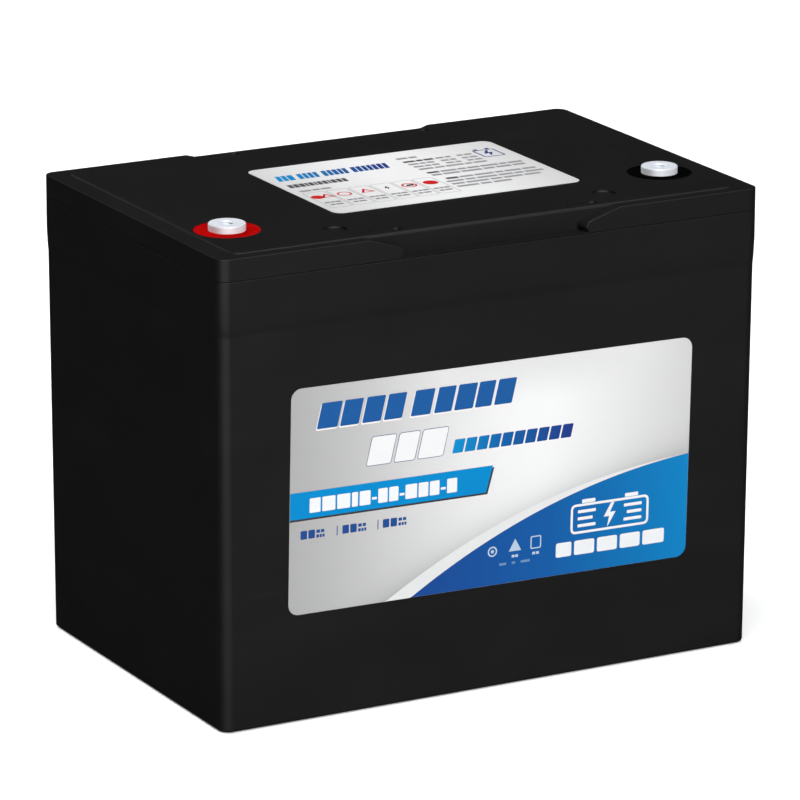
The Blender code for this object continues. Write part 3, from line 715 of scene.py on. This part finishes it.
def thread_radius(z):
    """Radius round the bore at one height, where a metric thread winds down it."""
    depth = TERMINAL_TOP - COUNTERSINK - z
    fade = min(1.0, depth / (0.6 * THREAD_PITCH))

    def radius(angle):
        turn = z / THREAD_PITCH - angle / (2 * math.pi)
        tooth = abs(2 * (turn - math.floor(turn)) - 1)
        return BORE_RADIUS - THREAD_DEPTH * fade * min(1.0, 1.25 * tooth)

    return radius


def make_terminal(pole, side):
    base = TERMINAL_TOP - BORE_DEPTH
    profile = [(0.0, base), (BORE_RADIUS - THREAD_DEPTH, base)]
    rows = 96
    for index in range(rows + 1):
        z = base + 0.3 * MM + (BORE_DEPTH - 0.3 * MM - COUNTERSINK) * index / rows
        profile.append((thread_radius(z), z))
    profile += [(BORE_RADIUS + 0.1 * MM, TERMINAL_TOP - COUNTERSINK),
                (BORE_RADIUS + COUNTERSINK - 0.12 * MM, TERMINAL_TOP - 0.14 * MM),
                (BORE_RADIUS + COUNTERSINK, TERMINAL_TOP - 0.04 * MM),
                (BORE_RADIUS + COUNTERSINK + 0.1 * MM, TERMINAL_TOP)]
    profile += [(TERMINAL_RADIUS - TERMINAL_EDGE - 0.4 * MM, TERMINAL_TOP)]
    profile += [(TERMINAL_RADIUS - inset, TERMINAL_TOP - drop)
                for drop, inset in quarter_round(TERMINAL_EDGE, 8)]
    profile += [(TERMINAL_RADIUS, FLANGE_BOTTOM), (STUB_RADIUS, FLANGE_BOTTOM),
                (STUB_RADIUS, insert_low.z), (0.0, insert_low.z)]
    bm = bmesh.new()
    revolve(bm, profile, 64)
    piece = make_object(f"{pole}_terminal", bm)
    piece.location = (side * TERMINAL_PLACE[0], TERMINAL_PLACE[1], 0.0)
    piece.visible_glossy = False
    dress(piece, tin_finish, [f"{pole}_terminal_insert"], 50.0)


def make_seal(pole, side, finish):
    """Epoxy poured round the terminal, with a low meniscus against the metal."""
    inner = TERMINAL_RADIUS + SEAL_GAP
    outer = WELL_RADIUS - SEAL_GAP
    profile = [(inner, SEAL_BOTTOM), (inner, PLATEAU_TOP - 0.02 * MM)]
    for share in (0.1, 0.25, 0.45, 0.7, 1.0):
        rise = 0.16 * MM * (1 - share) ** 2
        profile.append((inner + 0.8 * MM * share, PLATEAU_TOP - 0.18 * MM + rise))
    for share in (0.0, 0.5, 0.8, 1.0):
        rise = 0.12 * MM * share ** 2
        profile.append((outer - 0.5 * MM * (1 - share), PLATEAU_TOP - 0.16 * MM + rise))
    profile += [(outer, SEAL_BOTTOM), (inner, SEAL_BOTTOM)]
    bm = bmesh.new()
    revolve(bm, profile, 96)
    bmesh.ops.remove_doubles(bm, verts=bm.verts, dist=0.001 * MM)
    piece = make_object(f"{pole}_seal", bm)
    piece.location = (side * TERMINAL_PLACE[0], TERMINAL_PLACE[1], 0.0)
    dress(piece, finish, [f"{pole}_seal_ring"], 50.0)


# ------------------------ labels


def soften(outline, radius):
    """Round the corners of a flat outline."""
    points = []
    corners = [Vector(point) for point in outline]
    for before, here, after in zip(corners[-1:] + corners, corners, corners[1:] + corners[:1]):
        start = here + (before - here).normalized() * min(radius, 0.45 * (before - here).length)
        end = here + (after - here).normalized() * min(radius, 0.45 * (after - here).length)
        for share in (0.0, 0.25, 0.5, 0.75, 1.0):
            points.append(start.lerp(here, share).lerp(here.lerp(end, share), share))
    return [tuple(point) for point in points]


class Label:
    """A film with printing on it. Places on it run from 0 to 1, from the top left."""

    def __init__(self, name, size, corner, matrix, light):
        self.name = name
        self.size = size
        self.corner = corner
        self.matrix = matrix
        self.light = light       # how strongly the studio lights a face turned this way

    def ink(self, red, green, blue):
        """An ink that shows as this screen colour under the studio light."""
        return tuple(value / self.light for value in linear(red, green, blue)[:3]) + (1.0,)

    def spot(self, u, v):
        return ((u - 0.5) * self.size[0], (0.5 - v) * self.size[1])

    def put(self, name, bm, finish, replaces=()):
        piece = make_object(f"{self.name}_{name}", bm)
        piece.matrix_world = self.matrix
        dress(piece, finish, replaces, sharp=0.0)
        return piece

    def film(self, finish, tone):
        """The film, as a fine grid with a printed tone at each point."""
        half_x, half_y = self.size[0] / 2, self.size[1] / 2
        heights = [half_y - drop for _, drop in quarter_round(self.corner, 8)[:0:-1]]
        rows = int(self.size[1] / FILM_GRID)
        heights += [(half_y - self.corner) * (1 - 2 * index / rows) for index in range(rows + 1)]
        heights += [-y for y in heights[7::-1]]
        columns = int(self.size[0] / FILM_GRID)
        bm = bmesh.new()
        grid = []
        for y in heights:
            over = max(0.0, abs(y) - (half_y - self.corner))
            reach = half_x - self.corner + math.sqrt(max(0.0, self.corner ** 2 - over ** 2))
            grid.append([bm.verts.new((reach * (2 * index / columns - 1), y, FILM))
                         for index in range(columns + 1)])
        for upper, lower in zip(grid, grid[1:]):
            for index in range(columns):
                bm.faces.new((upper[index], lower[index], lower[index + 1], upper[index + 1]))
        rim = [edge for edge in bm.edges if edge.is_boundary]
        grown = bmesh.ops.extrude_edge_only(bm, edges=rim)
        low = [item for item in grown["geom"] if isinstance(item, bmesh.types.BMVert)]
        bmesh.ops.translate(bm, verts=low, vec=(0.0, 0.0, FILM_GAP - FILM))
        bmesh.ops.holes_fill(bm, edges=[edge for edge in bm.edges if edge.is_boundary])
        piece = self.put("film", bm, finish, [self.name])
        shades = piece.data.color_attributes.new("print_tone", "FLOAT_COLOR", "POINT")
        for vertex, shade in zip(piece.data.vertices, shades.data):
            level = tone(vertex.co.x / self.size[0] + 0.5, 0.5 - vertex.co.y / self.size[1])
            shade.color = self.ink(level, level, level)

    def print(self, name, level, tints, shapes):
        """Ink shapes, each an outline, or an (outer, inner) pair for a ring.

        Tints is one screen colour, or a list of (place, colour) for a fade along the label.
        """
        bm = bmesh.new()
        z = FILM + level * INK
        for shape in shapes:
            if isinstance(shape[0][0], tuple):
                bridge(bm, *[[bm.verts.new((x, y, z)) for x, y in loop] for loop in shape])
            else:
                bm.faces.new([bm.verts.new((x, y, z)) for x, y in shape])
        if isinstance(tints, list):
            tint = {self.spot(u, 0)[0]: self.ink(*colour) for u, colour in tints}
        else:
            tint = self.ink(*tints)
        piece = self.put(name, bm, printed(f"{self.name}_{name}_ink", tint))
        for polygon in piece.data.polygons:
            if polygon.normal.z < 0:
                polygon.flip()

    def bar(self, u0, u1, v0, v1, slant=0.0, radius=0.0, grow=0.0):
        """A block that stands for a letter or a word, leaning by slant degrees."""
        left, top = self.spot(u0, v0)
        right, base = self.spot(u1, v1)
        lean = (top - base) * math.tan(math.radians(slant))
        outline = [(left - grow, base - grow), (right + grow, base - grow),
                   (right + lean + grow, top + grow), (left + lean - grow, top + grow)]
        return soften(outline, radius + grow) if radius else outline

    def bars(self, starts, ends, *shape):
        return [self.bar(u0, u1, *shape) for u0, u1 in zip(starts, ends)]

    def row(self, start, end, widths, v0, v1, gap, *shape):
        """A row of blocks with these relative widths. A zero leaves a word space."""
        spaces = [width or WORD_SPACE for width in widths]
        unit = (end - start) / (sum(spaces) + gap * (len(widths) - 1))
        shapes = []
        place = start
        for width, space in zip(widths, spaces):
            if width:
                shapes.append(self.bar(place, place + width * unit, v0, v1, *shape))
            place += (space + gap) * unit
        return shapes

    def disc(self, u, v, radius):
        return arc(*self.spot(u, v), radius, 0, 348.75, 31)

    def ring(self, u, v, radius, width):
        return (self.disc(u, v, radius), self.disc(u, v, radius - width))

    def frame(self, u0, u1, v0, v1, radius, width):
        return (self.bar(u0, u1, v0, v1, 0.0, radius),
                self.bar(u0, u1, v0, v1, 0.0, radius, -width))

    def shape(self, u, v, size, points):
        """A small figure, from points in its own square, centred on a place."""
        x, y = self.spot(u, v)
        return [(x + a * size, y + b * size) for a, b in points]


def swoosh(u):
    """Height of the blue field's upper edge on the front label."""
    rest = 1 - u
    return 0.5285 + 0.18 * rest + 0.61 * rest ** 2 + 0.135 * rest ** 3


def band(u):
    """Height of the outer edge of the pale band above the blue field."""
    return swoosh(u) - 0.11 * max(0.0, 1 - u) ** 1.2


def front_tone(u, v):
    """Brightness of the front label's silver ground, from 0 to 255."""
    if u < 0.63:
        share = u / 0.63
        rise = (1 - math.cos(math.pi * share)) / 4 + math.sin(math.pi / 2 * share) / 2
        level = 181 + 70 * rise
    else:
        level = 251 - 36 * ((u - 0.63) / 0.37) ** 1.3
    if level > 232:
        share = min(1.0, v / 0.22)
        level = 232 + (level - 232) * share * share * (3 - 2 * share)
    above = band(u) - v
    if above > -0.2:
        level -= 28 * math.exp(-max(0.0, above) / 0.062)
    return level


BOLT = [(0.1, 1.0), (-0.55, -0.12), (-0.05, -0.12), (-0.22, -1.0), (0.55, 0.22), (0.02, 0.22),
        (0.42, 1.0)]


def even_steps(start, end, steps):
    return [start + (end - start) * index / steps for index in range(steps + 1)]


def front_fields(label):
    """The blue field and the pale band that follows its edge."""
    last = 0.9995
    edge = [label.spot(u, min(swoosh(u), last)) for u in even_steps(0.298, last, 90)]
    half_x, half_y = label.size[0] / 2, label.size[1] / 2
    radius = label.corner
    corner = arc(half_x - radius, radius - half_y, radius - 0.03 * MM, 0, -90, 14)
    label.print("field", 2, [(0.35, (26, 78, 156)), (0.65, (19, 95, 170)), (1.0, (8, 134, 200))],
                [edge + corner])
    strips = []
    places = even_steps(0.235, last, 110)
    for u0, u1 in zip(places, places[1:]):
        lows = [min(swoosh(u) + 0.004, last) for u in (u0, u1)]
        highs = [min(band(u), 0.999) for u in (u0, u1)]
        if lows[1] - highs[1] > 0.0006:
            strips.append([label.spot(u0, lows[0]), label.spot(u1, lows[1]),
                           label.spot(u1, highs[1]), label.spot(u0, highs[0])])
    label.print("band", 1, (239, 240, 240), strips)


def front_headline(label):
    starts = (0.0625, 0.1185, 0.1725, 0.2255, 0.2915, 0.349, 0.3985, 0.45, 0.498)
    ends = (0.1125, 0.164, 0.218, 0.27, 0.3395, 0.392, 0.445, 0.491, 0.5425)
    rims = label.bars(starts, ends, 0.076, 0.188, ITALIC, 0.7 * MM, 0.15 * MM)
    label.print("headline_edge", 1, (250, 250, 250),
                [[(x - 0.35 * MM, y - 0.55 * MM) for x, y in rim] for rim in rims])
    label.print("headline", 2, (31, 94, 164),
                label.bars(starts, ends, 0.076, 0.188, ITALIC, 0.7 * MM))


def front_outlined_word(label):
    starts = (0.185, 0.253, 0.311)
    ends = (0.244, 0.303, 0.373)
    for name, level, tint, grow in (("outline", 1, (62, 98, 140), 0.28 * MM),
                                    ("fill", 2, (250, 250, 251), 0.0)):
        label.print(f"word_{name}", level, tint,
                    label.bars(starts, ends, 0.256, 0.381, ITALIC, 1.1 * MM, grow))


def front_small_word(label):
    starts = [0.3965 + 0.0302 * index for index in range(10)]
    ends = [start + 0.0262 for start in starts]
    tints = [(0.4, (8, 146, 210)), (0.52, (14, 100, 172)), (0.7, (34, 58, 136))]
    label.print("small_word", 1, tints,
                label.bars(starts, ends, 0.318, 0.379, ITALIC, 0.5 * MM))


def front_banner(label):
    left = 0.0006
    for name, level, tint, right, top, tip, base in (
            ("banner_shadow", 1, (62, 60, 62), 0.503, (0.47, 0.466), 0.487, 0.584),
            ("banner", 2, (0, 143, 211), 0.4995, (0.457, 0.457), 0.4835, 0.5755)):
        label.print(name, level, tint, [[label.spot(left, top[0]), label.spot(right, top[1]),
                                         label.spot(tip, base), label.spot(left, base)]])
    words = []
    for start, end, widths in ((0.048, 0.1965, (1.0, 1.2, 1.2, 0.55, 1.0)),
                               (0.2155, 0.265, (1.0, 1.0)), (0.2825, 0.3665, (1.2, 1.0, 1.0)),
                               (0.3855, 0.4105, (1.0,))):
        words += label.row(start, end, widths, 0.489, 0.553, 0.16, 0.0, 0.5 * MM)
    words += label.bars((0.2, 0.268, 0.37), (0.212, 0.28, 0.382), 0.523, 0.534, 0.0,
                        0.2 * MM)
    label.print("banner_words", 3, (250, 252, 254), words)


def front_figures(label):
    shapes = label.bars((0.115, 0.215), (0.1172, 0.2172), 0.627, 0.67)
    for start in (0.027, 0.129, 0.228):
        shapes += label.row(start, start + 0.035, (1.0, 1.0), 0.629, 0.667, 0.2, 0.0, 0.5 * MM)
        small = start + 0.0385
        shapes += label.row(small, small + 0.019, (1.0, 0.9), 0.632, 0.646, 0.25, 0.0, 0.2 * MM)
        shapes += label.row(small, small + 0.02, (1.0, 0.8, 0.8), 0.653, 0.667, 0.25, 0.0,
                            0.2 * MM)
    label.print("figures", 1, (36, 80, 150), shapes)


def front_marks(label):
    """Plain pictures in white on the blue field: a battery, and three small marks."""
    shapes = [label.frame(0.7, 0.9, 0.69, 0.825, 2.6 * MM, 1.1 * MM),
              label.shape(0.8, 0.7575, 5.4 * MM, BOLT)]
    shapes += label.bars((0.728, 0.838), (0.762, 0.872), 0.671, 0.688, 0.0, 0.5 * MM)
    for v, short in ((0.718, 0.0), (0.75, 0.008), (0.782, 0.0)):
        shapes += label.bars((0.718, 0.836 + short), (0.764 - short, 0.882), v, v + 0.014,
                             0.0, 0.3 * MM)
    shapes += label.row(0.664, 0.942, (1.0, 1.3, 1.3, 1.3, 1.4), 0.855, 0.92, 0.18, 0.0,
                        1.0 * MM)
    label.print("picture", 3, (247, 250, 252), shapes)
    small = [label.ring(0.503, 0.848, 2.3 * MM, 0.65 * MM),
             label.disc(0.503, 0.848, 0.8 * MM),
             label.shape(0.56, 0.833, 3.2 * MM, [(-0.95, -0.8), (0.95, -0.8), (0.0, 0.9)]),
             label.frame(0.599, 0.626, 0.804, 0.862, 0.7 * MM, 0.55 * MM)]
    small += label.row(0.552, 0.568, (1.0, 1.0), 0.876, 0.888, 0.25)
    small += label.row(0.604, 0.621, (1.0, 1.0), 0.876, 0.888, 0.25)
    label.print("small_marks", 3, (190, 212, 232), small)
    label.print("small_line", 3, (112, 150, 196),
                label.row(0.521, 0.598, (1.0, 0.0, 0.5, 0.0, 1.3), 0.906, 0.917, 0.12))


def make_front_label():
    x, z = FRONT_CENTRE
    wall_y = -(BASE_HALF[1] + z * math.tan(DRAFT))
    matrix = (Matrix.Translation((x, wall_y, z)) @ Matrix.Rotation(math.pi / 2 + DRAFT, 4, "X")
              @ Matrix.Rotation(FRONT_ROLL, 4, "Z"))
    label = Label("front_label", FRONT_SIZE, FRONT_CORNER, matrix, FRONT_LIGHT)
    label.film(printed("front_film_print", "print_tone", 0.02), front_tone)
    front_fields(label)
    front_headline(label)
    front_outlined_word(label)
    front_small_word(label)
    front_banner(label)
    front_figures(label)
    front_marks(label)


def top_tone(u, v):
    """Brightness of the top label's ground: white in the middle, greyer at the ends."""
    level = 250 - 36 * max(0.0, abs(u - 0.5) / 0.5 - 0.15) ** 1.3
    return level - 5 * max(0.0, v - 0.6)


def top_text(label):
    """Lines of small print, shown as plain grey bars."""
    dark = label.row(0.03, 0.265, (1.0, 1.1, 1.1, 0.6, 1.0, 0.5, 1.0, 1.0, 0.5, 1.1, 1.0, 1.0),
                     0.365, 0.43, 0.2, 6.0, 0.3 * MM)
    dark += label.row(0.566, 0.69, (1.2, 0.7, 1.0), 0.203, 0.234, 0.12)
    dark += [label.bar(0.566, 0.615, 0.459, 0.49), label.bar(0.586, 0.636, 0.606, 0.64)]
    grey = label.row(0.035, 0.16, (1.4, 0.9, 1.2), 0.497, 0.528, 0.16)
    grey += label.row(0.566, 0.65, (1.1, 0.8), 0.127, 0.158, 0.16)
    for v in (0.203, 0.262, 0.318):
        grey += label.row(0.7, 0.762, (1.0, 0.7), v, v + 0.029, 0.16)
        grey += label.row(0.788, 0.85, (0.8, 1.0), v, v + 0.029, 0.16)
    for v in (0.262, 0.318):
        grey += label.row(0.566, 0.672, (1.2, 0.7, 0.9), v, v + 0.029, 0.14)
    for start, end, v0, v1, widths in (
            (0.566, 0.846, 0.375, 0.404, (1.2, 0.8, 1.5, 0.6, 1.1)),
            (0.622, 0.958, 0.459, 0.49, (1.3, 0.7, 1.0, 1.5, 0.6, 1.2)),
            (0.566, 0.95, 0.512, 0.543, (0.7, 1.2, 1.5, 0.8, 1.1, 0.9)),
            (0.642, 0.956, 0.608, 0.638, (1.0, 1.4, 0.6, 1.2, 1.0)),
            (0.566, 0.965, 0.666, 0.696, (1.2, 0.7, 1.4, 1.0, 0.6, 1.3)),
            (0.566, 0.93, 0.722, 0.752, (0.8, 1.4, 0.7, 1.2, 1.0)),
            (0.566, 0.788, 0.78, 0.81, (1.2, 0.6, 1.0))):
        grey += label.row(start, end, widths, v0, v1, 0.12)
    label.print("bold_lines", 1, (88, 88, 92), dark)
    label.print("fine_lines", 1, (158, 158, 162), grey)


def top_boxes(label):
    """Six outlined boxes, each with a plain figure over two short grey bars."""
    edges = (0.023, 0.116, 0.206, 0.292, 0.38, 0.464, 0.552)
    outlines = []
    bars = []
    for left, right in zip(edges, edges[1:]):
        outlines.append(label.frame(left + 0.003, right - 0.003, 0.556, 0.886, 1.4 * MM,
                                    0.35 * MM))
        middle = (left + right) / 2
        bars += label.row(middle - 0.032, middle + 0.032, (1.0, 0.7, 1.1), 0.765, 0.79, 0.15)
        bars += label.row(middle - 0.026, middle + 0.026, (0.8, 1.2), 0.812, 0.837, 0.15)
    label.print("boxes", 1, (172, 172, 176), outlines)
    label.print("box_bars", 1, (150, 150, 154), bars)
    triangle = [(-1.0, -0.8), (1.0, -0.8), (0.0, 1.0)]
    strong = [label.disc(0.053, 0.656, 2.9 * MM), label.disc(0.51, 0.656, 3.4 * MM),
              label.ring(0.161, 0.656, 3.3 * MM, 0.8 * MM),
              label.ring(0.423, 0.656, 3.5 * MM, 0.9 * MM)]
    for place in (0.093, 0.25):
        strong.append((label.shape(place, 0.65, 3.4 * MM, triangle),
                       label.shape(place, 0.656, 1.9 * MM, triangle)))
    label.print("red_figures", 1, (214, 30, 34), strong)
    label.print("dark_figures", 2, (66, 50, 54),
                [label.shape(0.336, 0.65, 2.4 * MM, BOLT),
                 label.bar(0.408, 0.438, 0.642, 0.67, 20.0, 0.4 * MM)])


def top_picture(label):
    """A small plain battery in the upper right corner."""
    shapes = [label.frame(0.868, 0.956, 0.17, 0.32, 1.2 * MM, 0.8 * MM),
              label.shape(0.912, 0.245, 4.4 * MM, BOLT)]
    shapes += label.bars((0.88, 0.928), (0.896, 0.944), 0.148, 0.168)
    label.print("picture", 1, (44, 62, 130), shapes)


def make_top_label():
    matrix = Matrix.Translation((*TOP_CENTRE, PLATEAU_TOP))
    label = Label("top_label", TOP_SIZE, TOP_CORNER, matrix, TOP_LIGHT)
    label.film(printed("top_film_print", "print_tone", 0.02), top_tone)
    widths = (1.0, 1.0, 1.2, 0, 1.0, 0.9, 0.9, 0.9, 0, 1.0, 0.9, 1.0, 0.8, 0.9, 0,
              1.0, 1.0, 0.9, 0.9, 0.9, 1.0, 0.9)
    tints = [(0.05, (16, 150, 214)), (0.3, (30, 96, 166)), (0.48, (30, 62, 140))]
    label.print("headline", 1, tints,
                label.row(0.038, 0.488, widths, 0.18, 0.283, 0.22, ITALIC, 0.4 * MM))
    top_text(label)
    top_boxes(label)
    top_picture(label)


# ------------------------ studio


def make_floor():
    bm = bmesh.new()
    bm.faces.new([bm.verts.new((x, y, -0.3 * MM)) for x, y in rectangle(20.0, 20.0)])
    floor = make_object("floor", bm)
    finish = Finish("floor_paper", Specular_IOR_Level=0.0, Roughness=1.0,
                    Emission_Color=(1.0, 1.0, 1.0, 1.0), Emission_Strength=0.17)
    finish.colour(finish.blend(finish.span(finish.noise(3.0, 3.0), 0.3, 0.7),
                               (0.96, 0.96, 0.96, 1.0), (0.98, 0.98, 0.98, 1.0)))
    floor.data.materials.append(finish.material)
    floor.visible_glossy = False


def add_softbox(name, place, target, size, watts, tint=(1.0, 1.0, 1.0), diffuse=True,
                glossy=True):
    data = bpy.data.lights.new(name, "AREA")
    data.shape = "RECTANGLE"
    data.size, data.size_y = size
    data.energy = watts
    data.color = tint
    lamp = add_object(name, data)
    turn = (Vector(target) - Vector(place)).to_track_quat("-Z", "Y")
    lamp.matrix_world = Matrix.Translation(place) @ turn.to_matrix().to_4x4()
    lamp.visible_camera = False
    lamp.visible_diffuse = diffuse
    lamp.visible_glossy = glossy


def make_studio():
    make_floor()
    centre = (0.0, 0.0, 0.1)
    add_softbox("overhead", (-0.25, -1.3, 3.0), centre, (2.8, 2.2), 91.0, (0.99, 0.995, 1.0))
    add_softbox("key", (0.5, -3.8, 1.5), centre, (2.0, 1.6), 70.0)
    add_softbox("corner", (-1.8, -2.7, 0.65), (-0.13, -0.084, 0.1), (4.2, 1.2), 132.0,
                diffuse=False)
    add_softbox("ceiling", (0.4, -0.8, 3.0), centre, (4.2, 2.0), 30.0, diffuse=False)
    add_softbox("rim", (-0.4, 3.0, 1.7), centre, (2.0, 1.0), 3.0, diffuse=False)
    add_softbox("fill", (-1.6, 2.6, 3.0), (-0.9, 0.4, 0.0), (2.0, 2.0), 95.0, glossy=False)
    add_softbox("wash", (0.2, 3.4, 2.2), (0.3, 1.7, 0.0), (3.0, 1.5), 80.0, glossy=False)
    world = bpy.data.worlds.new("studio")
    bpy.context.scene.world = world
    world.use_nodes = True
    tree = world.node_tree
    ambient = tree.nodes["Background"]
    ambient.inputs["Color"].default_value = (1.0, 1.0, 1.0, 1.0)
    ambient.inputs["Strength"].default_value = 0.01
    wall = tree.nodes.new("ShaderNodeBackground")
    wall.inputs["Color"].default_value = (1.0, 1.0, 1.0, 1.0)
    path = tree.nodes.new("ShaderNodeLightPath")
    mix = tree.nodes.new("ShaderNodeMixShader")
    tree.links.new(path.outputs["Is Camera Ray"], mix.inputs[0])
    tree.links.new(ambient.outputs[0], mix.inputs[1])
    tree.links.new(wall.outputs[0], mix.inputs[2])
    tree.links.new(mix.outputs[0], tree.nodes["World Output"].inputs["Surface"])


# ------------------------ the whole battery

# Each CAD node that stays in view gets its finish by its record slot.
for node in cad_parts.values():
    for holder in node.material_slots:
        slot_name = holder.material.name.split(".")[0] if holder.material else ""
        if slot_name in NODE_FINISHES:
            holder.material = NODE_FINISHES[slot_name]

make_case()
make_cover()
make_bead()
make_terminal("positive", -1)
make_terminal("negative", 1)
make_seal("positive", -1, red_finish)
make_seal("negative", 1, black_finish)
make_front_label()
make_top_label()
make_studio()
